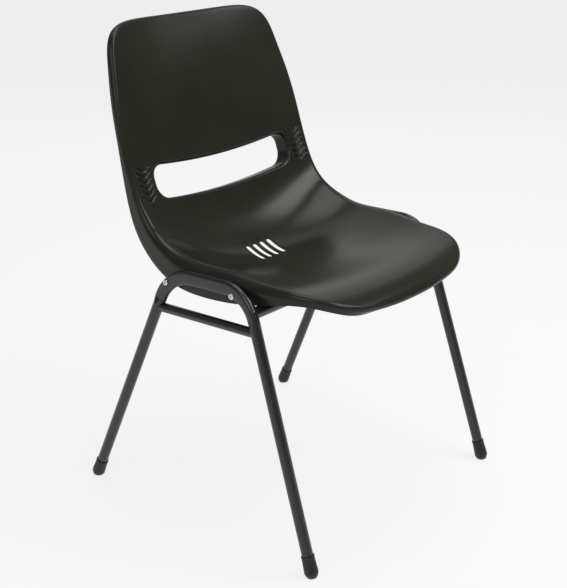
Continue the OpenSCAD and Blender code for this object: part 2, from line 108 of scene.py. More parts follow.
# the side tube's line as places of the side plane, from the rear foot to the front foot
frontFoot = np.array([-tube["frontFootReach"], 0.0])
rearFoot = np.array([tube["rearFootReach"], 0.0])
frontCorner = np.array([-tube["archFrontReach"], tube["archFrontHeight"]])
rearCorner = np.array([tube["archRearReach"], tube["archRearHeight"]])
sideLine = [rearFoot, rearCorner, frontCorner, frontFoot]
rearWay, topWay, frontWay = (unit(end - start) for start, end in zip(sideLine, sideLine[1:]))
rearTurn, frontTurn = turnBetween(rearWay, topWay), turnBetween(topWay, frontWay)
rearCut, frontCut = tube["rearBend"] * math.tan(rearTurn / 2), tube["frontBend"] * math.tan(frontTurn / 2)
rearBendLow, rearBendTop = rearCorner - rearWay * rearCut, rearCorner + topWay * rearCut
frontBendTop, frontBendLow = frontCorner - topWay * frontCut, frontCorner + frontWay * frontCut
rearRound, frontRound = rearBendLow - rearWay * tube["blend"], frontBendLow + frontWay * tube["blend"]

# the side plane toes out towards the rear feet and leans in towards the shell
footSlope = (tube["rearSpan"] - tube["frontSpan"]) / 2 / (tube["frontFootReach"] + tube["rearFootReach"])
sideX = tube["frontSpan"] / 2 + footSlope * tube["frontFootReach"]
archX = shell["seatWidth"] / 2 + shell["gap"] + tube["pressWidth"] / 2
sideLean = math.atan((sideX - archX) / ((tube["archFrontHeight"] + tube["archRearHeight"]) / 2))
planeTurn = Matrix.Rotation(-math.atan(footSlope), 4, "Z") @ Matrix.Rotation(-sideLean, 4, "Y")

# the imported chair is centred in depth, so the datum's place comes from the cross tube's box
crossLow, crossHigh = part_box("cross_tube")
crossAt = onLeg(frontFoot, frontCorner, stretchers["cross"])
crossPoint = planeTurn @ Vector(inPlane(crossAt)) + Vector((sideX, 0, 0))
datumY = (crossLow.y + crossHigh.y) / 2 / mm - crossPoint.y
sidePlace = Matrix.Scale(mm, 4) @ Matrix.Translation((sideX, datumY, 0)) @ planeTurn
mirrored = Matrix.Scale(-1, 4, (1, 0, 0))
print("datum lies", round(datumY, 2), "mm behind the middle of the chair")


# small helpers for modelling
def clearSelection():
    if bpy.context.object and bpy.context.object.mode != "OBJECT":
        bpy.ops.object.mode_set(mode="OBJECT")
    bpy.ops.object.select_all(action="DESELECT")


def makeActive(piece):
    clearSelection()
    piece.select_set(True)
    bpy.context.view_layer.objects.active = piece


def editAll(piece):
    makeActive(piece)
    bpy.ops.object.mode_set(mode="EDIT")
    bpy.ops.mesh.select_all(action="SELECT")


def leaveEdit():
    bpy.ops.object.mode_set(mode="OBJECT")


def freshObject(name, points, faces, edges=()):
    mesh = bpy.data.meshes.new(name)
    mesh.from_pydata([tuple(p) for p in points], list(edges), [tuple(int(i) for i in f) for f in faces])
    mesh.update()
    piece = bpy.data.objects.new(name, mesh)
    bpy.context.scene.collection.objects.link(piece)
    return piece


def ringFaces(loops):  # quads between closed loops of point numbers
    faces = []
    for near, far in zip(loops, loops[1:]):
        for i in range(len(near)):
            j = (i + 1) % len(near)
            faces.append((near[i], near[j], far[j], far[i]))
    return faces


def applyModifiers(piece):
    makeActive(piece)
    for modifier in list(piece.modifiers):
        bpy.ops.object.modifier_apply(modifier=modifier.name)


def faceOut(piece, merge=0.00001):  # doubles closer than merge are joined first
    editAll(piece)
    bpy.ops.mesh.remove_doubles(threshold=merge)
    bpy.ops.mesh.normals_make_consistent(inside=False)
    if bmesh.from_edit_mesh(piece.data).calc_volume(signed=True) < 0:  # thin sharp edges can mislead it
        bpy.ops.mesh.flip_normals()
    leaveEdit()


def smoothBelow(piece, degrees):
    makeActive(piece)
    bpy.ops.object.shade_smooth_by_angle(angle=math.radians(degrees))


def cutBy(piece, cutter):
    cut = piece.modifiers.new("cut", "BOOLEAN")
    cut.operation, cut.solver, cut.object = "DIFFERENCE", "EXACT", cutter
    applyModifiers(piece)
    bpy.data.objects.remove(cutter)


def place(piece, matrix):
    piece.data.transform(matrix)
    if matrix.determinant() < 0:
        faceOut(piece)
    return piece


def mirrorOf(piece, name):
    twin = piece.copy()
    twin.data = piece.data.copy()
    twin.name = twin.data.name = name
    bpy.context.scene.collection.objects.link(twin)
    return place(twin, mirrored)


def joined(pieces, name):
    clearSelection()
    for piece in pieces:
        piece.select_set(True)
    bpy.context.view_layer.objects.active = pieces[0]
    bpy.ops.object.join()
    pieces[0].name = pieces[0].data.name = name
    return pieces[0]


# the moulded shell: a lofted sheet with a rolled rim, a slot and its details
def withEnds(rows):  # one more row at each end, so that the spline reaches the first and the last
    rows = np.asarray(rows, float)
    return np.concatenate([[2 * rows[0] - rows[1]], rows, [2 * rows[-1] - rows[-2]]])


def spanAt(rows, t):  # how many spans the spline has, the one that t is in, and how far along it
    count = len(rows) - 3
    x = np.clip(t, 0, 1) * count
    i = np.minimum(x.astype(int), count - 1)
    return count, i, x - i


def splineAt(rows, t):
    count, i, f = spanAt(rows, t)
    if rows.ndim > 1:
        f = f[..., None]
    g = 1 - f
    return (g**3 * rows[i] + (3 * f**3 - 6 * f**2 + 4) * rows[i + 1]
            + (3 * g**3 - 6 * g**2 + 4) * rows[i + 2] + f**3 * rows[i + 3]) / 6


def slopeAt(rows, t):
    count, i, f = spanAt(rows, t)
    f = f[..., None]
    g = 1 - f
    return (-g**2 * rows[i] + (3 * f**2 - 4 * f) * rows[i + 1]
            + (4 * g - 3 * g**2) * rows[i + 2] + f**2 * rows[i + 3]) * count / 2


lineRows = withEnds(np.array(shell["line"]) * [shell["seatLength"], shell["backRise"]] + [0, shell["datum"]])
rimRows = withEnds(np.array(shell["rimShares"]) * shell["rim"])
widthRows = withEnds(np.array(shell["halfWidth"]) * (shell["seatWidth"] / 2)) - rimRows
dishRows = withEnds(np.array(shell["dishShares"]) * shell["dish"])
skirtRows = withEnds(np.array(shell["skirtShares"]) * shell["skirt"])
slotStation = np.array([shell["slotPlace"]])
slotSpeed = float(np.linalg.norm(slopeAt(lineRows, slotStation)))  # mm along the line per unit of t


def lineNormal(t):
    way = unit(slopeAt(lineRows, t))
    return np.stack([0 * t, -way[..., 1], way[..., 0]], -1)


def smoothStep(x):
    x = np.clip(x, 0, 1)
    return x * x * (3 - 2 * x)


def facePoint(t, v):  # the sitting face at station t along the line and v across it
    centre = splineAt(lineRows, t)
    k = smoothStep((t - shell["sectionMid"]) / shell["sectionTurn"])
    power = shell["seatRound"] * (1 - k) + shell["backRound"] * k
    rise = splineAt(dishRows, t) * (np.abs(v) / splineAt(widthRows, t)) ** power
    return np.stack([v + 0 * t, centre[..., 0], centre[..., 1]], -1) + lineNormal(t) * rise[..., None]


def faceNormal(t, v):
    small, stepAcross = 0.001, 0.45
    t = np.minimum(t, 1 - small)
    across = facePoint(t, v + stepAcross) - facePoint(t, v - stepAcross)
    return unit(np.cross(across, facePoint(t + small, v) - facePoint(t - small, v)))


def onPanel(a, b):  # a place of the square [-1, 1] as [station, across], with round corners
    power = np.where(a > 0, shell["topCorner"], shell["frontCorner"])
    along = a * (1 - np.abs(b) ** power / 2) ** (1 / power)
    side = b * (1 - np.abs(a) ** power / 2) ** (1 / power)
    t = (1 + along) / 2
    crown = np.where(a > 0, shell["crown"] * side**2 * along, 0)
    return np.stack([t - crown, side * splineAt(widthRows, t)], -1)


def onSlot(a, b):  # the same square's edge laid round the slot, where the roll starts
    tall, wide = shell["slotHeight"] / 2 + shell["slotRoll"], shell["slotWidth"] / 2 + shell["slotRoll"]
    corner = shell["slotCorner"] + shell["slotRoll"]
    at = np.stack([a * tall, b * wide], -1)
    core = np.stack([
        np.clip(at[:, 0], corner - tall, tall - corner), np.clip(at[:, 1], corner - wide, wide - corner),
    ], -1)
    up, across = (core + unit(at - core) * corner).T
    t = shell["slotPlace"] + up / slotSpeed + shell["slotBow"] * (across / wide) ** 2
    return np.stack([t, across], -1)


grooves = {
    "count": 6, "pitch": 10.5, "width": 4.6, "deep": 2.1, "wave": 4, "waveLength": 32, "soft": 1.25,
    "slotClear": 2.5, "slotFade": 4, "rimClear": 2, "rimFade": 5,
}


def grooveDepth(t, v):  # the wavy flex grooves between the slot's ends and the rim
    near = shell["slotWidth"] / 2 + shell["slotRoll"] + grooves["slotClear"]
    far = float(splineAt(widthRows, slotStation)[0]) - grooves["rimClear"]
    across = np.abs(v)
    up = (t - shell["slotPlace"] - shell["slotBow"]) * slotSpeed
    line = up - grooves["wave"] * np.cos(2 * np.pi * (across - near) / grooves["waveLength"])
    half = (grooves["count"] - 1) / 2
    row = np.clip(np.round(line / grooves["pitch"] + half), 0, grooves["count"] - 1) - half
    off = np.abs(line - row * grooves["pitch"]) / (grooves["width"] / 2)
    slotEnd = smoothStep((across - near) / grooves["slotFade"])
    rimEnd = smoothStep((far - across) / grooves["rimFade"])
    return grooves["deep"] * smoothStep(grooves["soft"] - off) * (slotEnd * rimEnd)


def rolledEdge(at, normal, out, turned, radius, depth, rollSteps, depthSteps):
    angle = np.arccos(np.clip((out * turned).sum(-1), -1, 1))
    middle = unit(turned - out * np.cos(angle)[:, None])
    rings = []
    for i in range(1, rollSteps + 1):
        w = (angle * i / rollSteps)[:, None]
        rings.append(at + radius[:, None] * (np.sin(w) * out + (1 - np.cos(w)) * middle))
    for i in range(1, depthSteps + 1):
        rings.append(rings[rollSteps - 1] + turned * (depth * i / depthSteps)[:, None])
    return rings


def ringOut(points, normals):
    return unit(np.cross(np.roll(points, -1, 0) - np.roll(points, 1, 0), normals))


def buildSheet():
    x = np.linspace(1, -1, shell["columns"] + 1)
    b = (1 - shell["crowding"]) * x + shell["crowding"] * np.sin(np.pi / 2 * x)
    places, faces = [], []

    def addPlaces(grid):  # keeps the places and gives back their numbers
        start = sum(len(p) for p in places)
        places.append(grid.reshape(-1, 2))
        return start + np.arange(len(places[-1])).reshape(grid.shape[:-1])

    def panelRow(a):
        return onPanel(np.full_like(b, a), b)

    def addRows(rows):
        ids = addPlaces(np.array([panelRow(a) for a in rows]))
        for near, far in zip(ids, ids[1:]):
            faces.extend((near[j], near[j + 1], far[j + 1], far[j]) for j in range(len(near) - 1))
        return ids

    seat = addRows(np.linspace(-1, shell["slotFrom"], shell["seatRows"]))
    back = addRows(np.linspace(shell["slotTo"], 1, shell["backRows"]))
    down = np.linspace(shell["slotTo"], shell["slotFrom"], shell["sideRows"] + 1)[1:-1]
    share = np.linspace(1, -1, shell["sideRows"] + 1)[1:-1]
    rightSide, leftSide = onPanel(down, np.full_like(down, -1)), onPanel(down[::-1], np.full_like(down, 1))
    ringOuter = np.concatenate([
        panelRow(shell["slotTo"]), rightSide, panelRow(shell["slotFrom"])[::-1], leftSide,
    ])
    ringInner = np.concatenate([
        onSlot(np.ones_like(b), b), onSlot(share, np.full_like(share, -1)),
        onSlot(-np.ones_like(b), b[::-1]), onSlot(share[::-1], np.full_like(share, 1)),
    ])
    toOuter = ringOuter - ringInner
    ids = addPlaces(np.array([ringInner + toOuter * k / shell["rings"] for k in range(shell["rings"])]))
    # the last ring is the rows of the seat and the back, with new places down the sides
    sideIds = addPlaces(np.concatenate([rightSide, leftSide]))
    rightIds, leftIds = sideIds[: len(down)], sideIds[len(down):]
    faces.extend(ringFaces([*ids, np.concatenate([back[0], rightIds, seat[-1][::-1], leftIds])]))
    flat = np.concatenate(places)
    t, v = flat[:, 0], flat[:, 1]
    points = facePoint(t, v) - faceNormal(t, v) * grooveDepth(t, v)[:, None]

    # the rim's loop runs over the top from left to right, down the right side and back
    rimIds = np.concatenate([
        back[-1], back[-2:0:-1, -1], [back[0, -1]], rightIds, seat[:0:-1, -1],
        seat[0][::-1], seat[1:-1, 0], [seat[-1, 0]], leftIds, back[:-1, 0],
    ])
    rimPlaces = flat[rimIds]
    rimPoints, rimNormals = points[rimIds], faceNormal(rimPlaces[:, 0], rimPlaces[:, 1])
    rimOut = ringOut(rimPoints, rimNormals)
    turned = unit(shell["splay"] * rimOut - lineNormal(rimPlaces[:, 0]))
    rimRings = rolledEdge(rimPoints, rimNormals, rimOut, turned, splineAt(rimRows, rimPlaces[:, 0]),
                          splineAt(skirtRows, rimPlaces[:, 0]), shell["rollSteps"], shell["skirtSteps"])
    slotPlaces = flat[ids[0]]
    slotPoints, slotNormals = points[ids[0]], faceNormal(slotPlaces[:, 0], slotPlaces[:, 1])
    slotOut = -ringOut(slotPoints, slotNormals)
    roll, edge = (np.full(len(slotPoints), float(shell[key])) for key in ("slotRoll", "slotEdge"))
    slotRings = rolledEdge(slotPoints, slotNormals, slotOut, -lineNormal(slotPlaces[:, 0]), roll, edge,
                           shell["rollSteps"], shell["slotEdgeSteps"])
    points = list(points)
    for loop, rings, flip in ((rimIds, rimRings, False), (ids[0], slotRings, True)):
        loops = [loop]
        for ring in rings:
            loops.append(np.arange(len(points), len(points) + len(ring)))
            points.extend(ring)
        faces.extend(quad[::-1] if flip else quad for quad in ringFaces(loops))
    return np.array(points), faces


datumShift = np.array([0, datumY * mm, 0])
points, faces = buildSheet()
seatShell = freshObject("moulded_shell", points * mm + datumShift, faces)
editAll(seatShell)
bpy.ops.mesh.normals_make_consistent(inside=False)
leaveEdit()
seatMiddle = Vector((0, 0, shell["datum"] * mm))
centreFace = min(seatShell.data.polygons, key=lambda p: (p.center - seatMiddle).length)
print("shell sheet:", len(points), "points, seat faces", "up" if centreFace.normal.z > 0 else "down")
if centreFace.normal.z < 0:  # an open sheet may come out either way round
    editAll(seatShell)
    bpy.ops.mesh.flip_normals()
    leaveEdit()
wall = seatShell.modifiers.new("wall", "SOLIDIFY")
wall.thickness, wall.offset, wall.use_even_offset = shell["wall"] * mm, -1, False
edge = seatShell.modifiers.new("edge", "BEVEL")
edge.width, edge.segments = shell["edgeRound"] * mm, 2
edge.limit_method, edge.angle_limit = "ANGLE", math.radians(shell["edgeAngle"])
applyModifiers(seatShell)
print("shell wall:", len(seatShell.data.polygons), "faces")

drains = {
    "count": 4, "pitch": 18, "front": 70, "length": 43, "width": 9,
    "capIn": 5, "capSteps": 10, "sideSteps": 10,
    "flare": 1.5, "waist": 0.5,  # each slot is narrowest half way through the wall
    "clear": 3, "clearGrow": 1.6,  # how far the cutter stands out of the wall, and grows there
    "tail": 15, "tailIn": 7, "tailDeep": 1.6, "tailSteps": 9,
    "tailTop": 3.2, "tailFace": 2.6, "tailFloor": 1.8, "tailClear": 1.5, "tailShrink": 0.4,
}
# stations under the sitter, to find the one that lies at a given depth
seatStations = np.linspace(0.25, 0.64, 1200)
seatDepths = splineAt(lineRows, seatStations)[:, 0]


def overSeat(x, y, height):
    t = seatStations[[np.argmin(np.abs(seatDepths - y))]]
    return facePoint(t, np.array([x]))[0] + lineNormal(t)[0] * height


def drainCutter(x):  # a round-ended slot whose walls open a little to both faces
    r, wall = drains["width"] / 2, shell["wall"]
    front, rear = drains["front"] + drains["capIn"], drains["front"] + drains["length"] - drains["capIn"]
    turn = np.linspace(0, np.pi, drains["capSteps"])
    between = np.linspace(front, rear, drains["sideSteps"])[1:-1]
    outline = [(math.cos(w), front, math.sin(w)) for w in np.pi + turn] + [(1, y, 0) for y in between]
    outline += [(math.cos(w), rear, math.sin(w)) for w in turn] + [(-1, y, 0) for y in between[::-1]]
    flared, clear, grow = r + drains["flare"], drains["clear"], drains["clearGrow"]
    levels = [(clear, flared + grow), (0, flared), (-drains["waist"] * wall, r), (-wall, flared),
              (-wall - clear, flared + grow)]
    rings = [overSeat(x + c * grown, y + s * grown, height)
             for height, grown in levels for c, y, s in outline]
    count = len(outline)
    faces = ringFaces(np.arange(len(rings)).reshape(-1, count))
    right = list(range(len(turn) - 1, len(turn) + len(between) + 1))
    left = [0, *range(count - 1, count - len(between) - 1, -1), count - len(between) - 1]
    caps = [tuple(range(len(turn))), tuple(range(right[-1], left[-1] + 1))]
    caps += [(right[k], right[k + 1], left[k + 1], left[k]) for k in range(len(right) - 1)]
    faces += [cap[::-1] for cap in caps]  # both ends are in strips that follow the seat's curve
    faces += [tuple(len(rings) - count + i for i in cap) for cap in caps]
    return rings, faces


def tailCutter(x):  # behind each drain slot the moulding goes on as a shallow blind groove
    start = drains["front"] + drains["length"] - drains["tailIn"]
    last = drains["tailSteps"] - 1
    rings = []
    for k in range(drains["tailSteps"]):
        shallow = math.sqrt(1 - (max(k - 1, 0) / last) ** 2)
        section = [(-drains["tailTop"], drains["tailClear"]), (-drains["tailFace"], 0),
                   (-drains["tailFloor"], -drains["tailDeep"] * shallow)]
        section += [(-side, height) for side, height in section[::-1]]
        width = 1 - drains["tailShrink"] + drains["tailShrink"] * shallow
        y = start + drains["tail"] * k / last
        rings += [overSeat(x + side * width, y, height) for side, height in section]
    loops = np.arange(len(rings)).reshape(drains["tailSteps"], -1)
    return rings, ringFaces(loops) + [tuple(loops[0][::-1]), tuple(loops[-1])]


for index in range(drains["count"]):
    for cutterOf in (drainCutter, tailCutter):
        rings, faces = cutterOf(drains["pitch"] * (index - (drains["count"] - 1) / 2))
        cutter = freshObject("cutter", np.array(rings) * mm + datumShift, faces)
        faceOut(cutter)
        cutBy(seatShell, cutter)
smoothBelow(seatShell, shell["shadeAngle"])
print("shell with drain slots:", len(seatShell.data.polygons), "faces")

# the side frames, drawn in the left side's plane and then set in place
tips = {
    "base": 23.5, "top": 21.6, "foot": 19, "round": 5.5, "roundTurn": 1.25, "below": 2.2, "length": 37,
    "lip": 3, "lipOut": 0.25, "lipStep": 0.05, "mouth": 0.5, "mouthRise": 0.1, "corners": 56,
    "floor": 7,  # the tube stands this far up inside the tip
    "shoulder": 6,  # its height, and the curve of each part as shares of height and width
    "shoulderCurve": [(0.2, 0.3), (0.45, 0.56), (0.7, 0.77), (1, 1)],
    "sideCurve": [(0.15, 0.06), (0.35, 0.3), (0.6, 0.68), (0.8, 0.9), (0.97, 1)],
}
narrow = tube["pressWidth"] / 2
pressRise = math.pi * (2 * tube["radius"] - tube["pressWidth"]) / 4  # half the flat that the press leaves


def selectedPoints(piece):
    return [v for v in bmesh.from_edit_mesh(piece.data).verts if v.select]


def middleOf(points):
    return sum((v.co for v in points), Vector()) / len(points)


def pressedPlace(x, h, former, share):  # takes a place of a section from one share of the press to another
    half = 0 if abs(h) < 1e-3 else math.copysign(1, h)
    radius = tube["radius"] - share * (tube["radius"] - narrow)
    angle = math.atan2(h - half * former * pressRise, x)
    return radius * math.cos(angle), radius * math.sin(angle) + half * share * pressRise


def pressSelected(piece, centre, way, former, share):
    side = np.array([-way[1], way[0]])
    chosen = selectedPoints(piece)
    middle = middleOf(chosen)
    for v in chosen:
        h = (v.co.y - middle.y) * side[0] + (v.co.z - middle.z) * side[1]
        x, h = pressedPlace(v.co.x, h, former, share)
        v.co = (x, centre[0] + side[0] * h, centre[1] + side[1] * h)
    bmesh.update_edit_mesh(piece.data)


def easePress(piece, centre, bend, way, turn, last):  # along a bend the press eases to its last share
    out, reach, small = np.array([way[1], -way[0]]), 2 * tube["radius"] + 1, 1e-4
    for v in bmesh.from_edit_mesh(piece.data).verts:
        back = np.array([v.co.y, v.co.z]) - centre
        distance = np.linalg.norm(back)
        travelled = math.atan2(float(back @ way), float(back @ out))
        if small < travelled <= turn + small and abs(distance - bend) < reach:
            share = 1 - (1 - last) * float(smoothStep(travelled / turn))
            x, h = pressedPlace(v.co.x, float(distance) - bend, 1, share)
            v.co = (x, *(centre + back / distance * (bend + h)))
    bmesh.update_edit_mesh(piece.data)


def extrudeTo(start, end):
    bpy.ops.mesh.extrude_region_move(TRANSFORM_OT_translate={"value": inPlane(end - start)})


def pressAlong(piece, start, end, way, shares):  # a straight run whose press changes step by step
    last, steps = start, len(shares) - 1
    for k in range(1, steps + 1):
        here = start + (end - start) * k / steps
        extrudeTo(last, here)
        pressSelected(piece, here, way, shares[k - 1], shares[k])
        last = here


def spinRound(piece, centre, angle, expected):
    # with no window the spin turns the other way, so the angle is negative
    bpy.ops.mesh.spin(steps=tube["bendSteps"], angle=-angle, center=inPlane(centre), axis=(1, 0, 0))
    missed = (middleOf(selectedPoints(piece)) - Vector(inPlane(expected))).length
    print("bend ends", round(missed, 3), "mm from its place")


def buildSideTube():
    clearSelection()
    start = rearFoot + rearWay * tips["floor"]
    tilt = -math.atan2(rearWay[0], rearWay[1])
    bpy.ops.mesh.primitive_circle_add(vertices=tube["corners"], radius=tube["radius"],
                                      location=inPlane(start), rotation=(tilt, 0, 0))
    piece = bpy.context.object
    piece.name = piece.data.name = "side_tube_left"
    bpy.ops.object.transform_apply(location=True, rotation=True, scale=True)
    editAll(piece)
    extrudeTo(start, rearRound)
    shares = [float(smoothStep(k / tube["blendSteps"])) for k in range(tube["blendSteps"] + 1)]
    pressAlong(piece, rearRound, rearBendLow, rearWay, shares)
    rearIn = np.array([-rearWay[1], rearWay[0]])
    spinRound(piece, rearBendLow + rearIn * tube["rearBend"], rearTurn, rearBendTop)
    extrudeTo(rearBendTop, frontBendTop)
    frontIn = np.array([-frontWay[1], frontWay[0]])
    centre = frontBendLow + frontIn * tube["frontBend"]
    spinRound(piece, centre, frontTurn, frontBendLow)
    easePress(piece, centre, tube["frontBend"], topWay, frontTurn, tube["pressLeft"])
    shares = [tube["pressLeft"] * share for share in shares[::-1]]
    pressAlong(piece, frontBendLow, frontRound, frontWay, shares)
    extrudeTo(frontRound, frontFoot - frontWay * tips["floor"])
    bpy.ops.mesh.edge_face_add()
    leaveEdit()
    faceOut(piece)
    return piece


sideTube = place(buildSideTube(), sidePlace)
otherTube = mirrorOf(sideTube, "side_tube_right")
for piece in (sideTube, otherTube):
    smoothBelow(piece, 40)
print("side tubes bent")


# the welded cross pieces
def straightTube(name, start, end, radius):
    way = Vector(end) - Vector(start)
    turn = way.to_track_quat("Z", "Y").to_matrix().to_4x4()
    clearSelection()
    bpy.ops.mesh.primitive_cylinder_add(vertices=tube["corners"], radius=radius, depth=way.length)
    piece = bpy.context.object
    piece.name = piece.data.name = name
    return place(piece, Matrix.Translation((Vector(start) + Vector(end)) / 2) @ turn)


welds = {
    "reach": 8, "crossReach": 4, "throat": 0.4, "ripple": 0.05, "ripples": 19, "steps": 72, "corners": 8,
    "crossIn": 2.4,  # the leg is still a little flat where the cross tube meets it
}


# a weld fillet where a tube that ends at start meets a post
def beadRound(start, way, radius, post, postWay, postRadius, size):
    start, way, post, postWay = (np.array(p, float) for p in (start, way, post, postWay))
    way, postWay = unit(way), unit(postWay)
    first = unit(np.cross(way, postWay))
    second = np.cross(way, first)
    turn = np.linspace(0, 2 * np.pi, welds["steps"], endpoint=False)[:, None]
    out = np.cos(turn) * first + np.sin(turn) * second
    offset = start + radius * out - post
    flatOffset = offset - (offset @ postWay)[:, None] * postWay
    flatWay = way - (way @ postWay) * postWay
    a, b = flatWay @ flatWay, flatOffset @ flatWay
    c = (flatOffset**2).sum(1) - postRadius**2
    travelled = ((-b + np.sqrt(np.maximum(b * b - a * c, 0))) / a)[:, None]
    contact = start + radius * out + travelled * way
    postOut = unit(flatOffset + travelled * flatWay)
    climb = out - (out * postOut).sum(1)[:, None] * postOut
    reach = size * (1 + welds["ripple"] * np.sin(welds["ripples"] * turn))
    low = contact - way * reach
    high = contact + climb * reach - post
    axial = (high @ postWay)[:, None] * postWay
    high = post + axial + unit(high - axial) * postRadius
    throat = contact + (out + postOut) * welds["throat"]
    corners, points = welds["corners"], []
    for f in np.arange(corners - 1) / (corners - 2):  # a hollow curve from one tube to the other
        points.append((1 - f) ** 2 * low + 2 * f * (1 - f) * throat + f**2 * high)
    points.append(contact - out - postOut)  # and one corner inside the wall
    points = np.array(points).transpose(1, 0, 2).reshape(-1, 3)
    loops = np.arange(len(points)).reshape(-1, corners)
    piece = freshObject("bead", points, ringFaces([*loops, loops[0]]))
    faceOut(piece)
    return piece


stretchFront = onLeg(frontFoot, frontCorner, stretchers["front"])
stretchRear = onLeg(rearFoot, rearCorner, stretchers["rear"])
stretchWay = unit(stretchFront - stretchRear)
stretcherLeft = straightTube("stretcher_bar_left", inPlane(stretchRear), inPlane(stretchFront),
                             stretchers["radius"])
beadsLeft = []
for at, way, foot, legWay in ((stretchRear, stretchWay, rearFoot, rearWay),
                              (stretchFront, -stretchWay, frontFoot, frontWay)):
    beadsLeft.append(beadRound(inPlane(at), inPlane(way), stretchers["radius"],
                               inPlane(foot), inPlane(legWay), tube["radius"], welds["reach"]))
beadsLeft = joined(beadsLeft, "weld_beads_left")
for piece in (stretcherLeft, beadsLeft):
    place(piece, sidePlace)
stretcherRight = mirrorOf(stretcherLeft, "stretcher_bar_right")
beadsRight = mirrorOf(beadsLeft, "weld_beads_right")
otherEnd = (-crossPoint.x, crossPoint.y, crossPoint.z)
crossBar = straightTube("cross_bar", otherEnd, crossPoint, tube["radius"])
legWay = planeTurn.to_3x3() @ Vector(inPlane(frontWay))
crossBeads = beadRound(crossPoint, (-1, 0, 0), tube["radius"], crossPoint, legWay,
                       tube["radius"] - welds["crossIn"], welds["crossReach"])
crossBeads = joined([crossBeads, mirrorOf(crossBeads, "bead")], "weld_beads_front")
for piece in (crossBar, crossBeads):
    place(piece, Matrix.Scale(mm, 4) @ Matrix.Translation((0, datumY, 0)))
for piece in (stretcherLeft, stretcherRight, crossBar, beadsLeft, beadsRight, crossBeads):
    smoothBelow(piece, 50)
print("stretchers, cross tube and weld beads set")


# turned pieces: foot tips, screws and the shell's fixing bosses
def turnedPiece(name, profile, steps):  # an outline in radius and height, spun once round
    edges = [(i, i + 1) for i in range(len(profile) - 1)]
    piece = freshObject(name, [(r, 0, h) for r, h in profile], [], edges)
    editAll(piece)
    bpy.ops.mesh.spin(steps=steps, angle=2 * math.pi, center=(0, 0, 0), axis=(0, 0, 1))
    leaveEdit()
    faceOut(piece, 0.001)
    return piece


def tipProfile():
    r, top, foot, turn = tips["base"] / 2, tips["top"] / 2, tips["foot"] / 2, tips["round"]
    lip, length, below, bore = tips["lip"], tips["length"], tips["below"], tube["radius"]
    profile = [(0, -below)]
    profile += [(foot - turn + turn * math.sin(w), turn - below - turn * math.cos(w))
                for w in np.linspace(0, tips["roundTurn"], 9)]
    wide, low = profile[-1]
    high = low + tips["shoulder"]
    profile += [(wide + (r - wide) * grown, low + tips["shoulder"] * k)
                for k, grown in tips["shoulderCurve"]]
    profile += [(r + (top - r) * grown, high + (length - lip - high) * k) for k, grown in tips["sideCurve"]]
    for w in np.linspace(0, math.pi, 9):
        bulge = tips["lipOut"] * math.sin(w)
        profile.append((top + bulge + tips["lipStep"], length - lip / 2 - lip / 2 * math.cos(w)))
    return profile + [(bore + tips["mouth"], length + tips["mouthRise"]), (bore, length - tips["mouth"]),
                      (bore, tips["floor"]), (0, tips["floor"])]


def footTip(name, foot, corner):
    piece = turnedPiece(name, tipProfile(), tips["corners"])
    way = unit(corner - foot)
    tilt = Matrix.Rotation(-math.atan2(way[0], way[1]), 4, "X")
    place(piece, sidePlace @ Matrix.Translation(inPlane(foot)) @ tilt)
    editAll(piece)  # the tip is cut flat at the floor
    bpy.ops.mesh.bisect(plane_co=(0, 0, 0), plane_no=(0, 0, 1), clear_inner=True, use_fill=True,
                        threshold=1e-7)
    leaveEdit()
    return piece


tipPieces = {}
for end, foot, corner in (("front", frontFoot, frontCorner), ("rear", rearFoot, rearCorner)):
    left = footTip("tip_" + end + "_left", foot, corner)
    tipPieces["foot_tip_" + end + "_left"] = left
    tipPieces["foot_tip_" + end + "_right"] = mirrorOf(left, "tip_" + end + "_right")
print("foot tips turned")

screws = {
    "head": 10.4, "headHeight": 3, "headRim": 1, "headRound": 1.9, "headFlat": 0.2, "headEdge": 0.3,
    "crown": 0.06, "crownShare": 0.4, "shank": 5, "length": 22, "point": 1, "pointLength": 1.5,
    "recess": 1.8, "recessLength": 5.4, "recessWidth": 1.3, "recessTaper": 0.7, "recessTurn": 0.35,
    "corners": 48,
    "frontBack": 28, "frontDrop": 11, "rearBack": 4, "rearDrop": 16,  # from the arch's corners
}
boss = {"hole": 2.4, "radius": 8, "root": 9.5, "edge": 0.6, "length": 10, "depth": 13, "corners": 40}


def panScrew(name, p):
    r, h, shank, length = screws["head"] / 2, screws["headHeight"], screws["shank"] / 2, screws["length"]
    rise = h - screws["headRim"] - screws["headFlat"]
    profile = [(0, -length), (shank - screws["point"], -length), (shank, -length + screws["pointLength"]),
               (shank, 0), (r - screws["headEdge"], 0), (r, screws["headEdge"])]
    profile += [(r - screws["headRound"] * (1 - math.cos(w)), screws["headRim"] + rise * math.sin(w))
                for w in np.linspace(0, math.pi / 2, 7)]
    profile += [(r * screws["crownShare"], h - screws["crown"]), (0, h)]
    piece = turnedPiece(name, profile, screws["corners"])
    tall = 4
    for turn in (screws["recessTurn"], screws["recessTurn"] + math.pi / 2):
        clearSelection()
        bpy.ops.mesh.primitive_cube_add(size=1, location=(0, 0, h - screws["recess"] + tall / 2))
        cutter = bpy.context.object
        cutter.scale = (screws["recessLength"], screws["recessWidth"], tall)
        cutter.rotation_euler = (0, 0, turn)
        bpy.ops.object.transform_apply(location=True, rotation=True, scale=True)
        for v in cutter.data.vertices:
            if v.co.z < h:
                v.co.x, v.co.y = v.co.x * screws["recessTaper"], v.co.y * screws["recessTaper"]
        cutBy(piece, cutter)
    lay = Matrix.Rotation(math.pi / 2, 4, "Y")
    return place(piece, sidePlace @ Matrix.Translation((tube["pressWidth"] / 2, p[0], p[1])) @ lay)


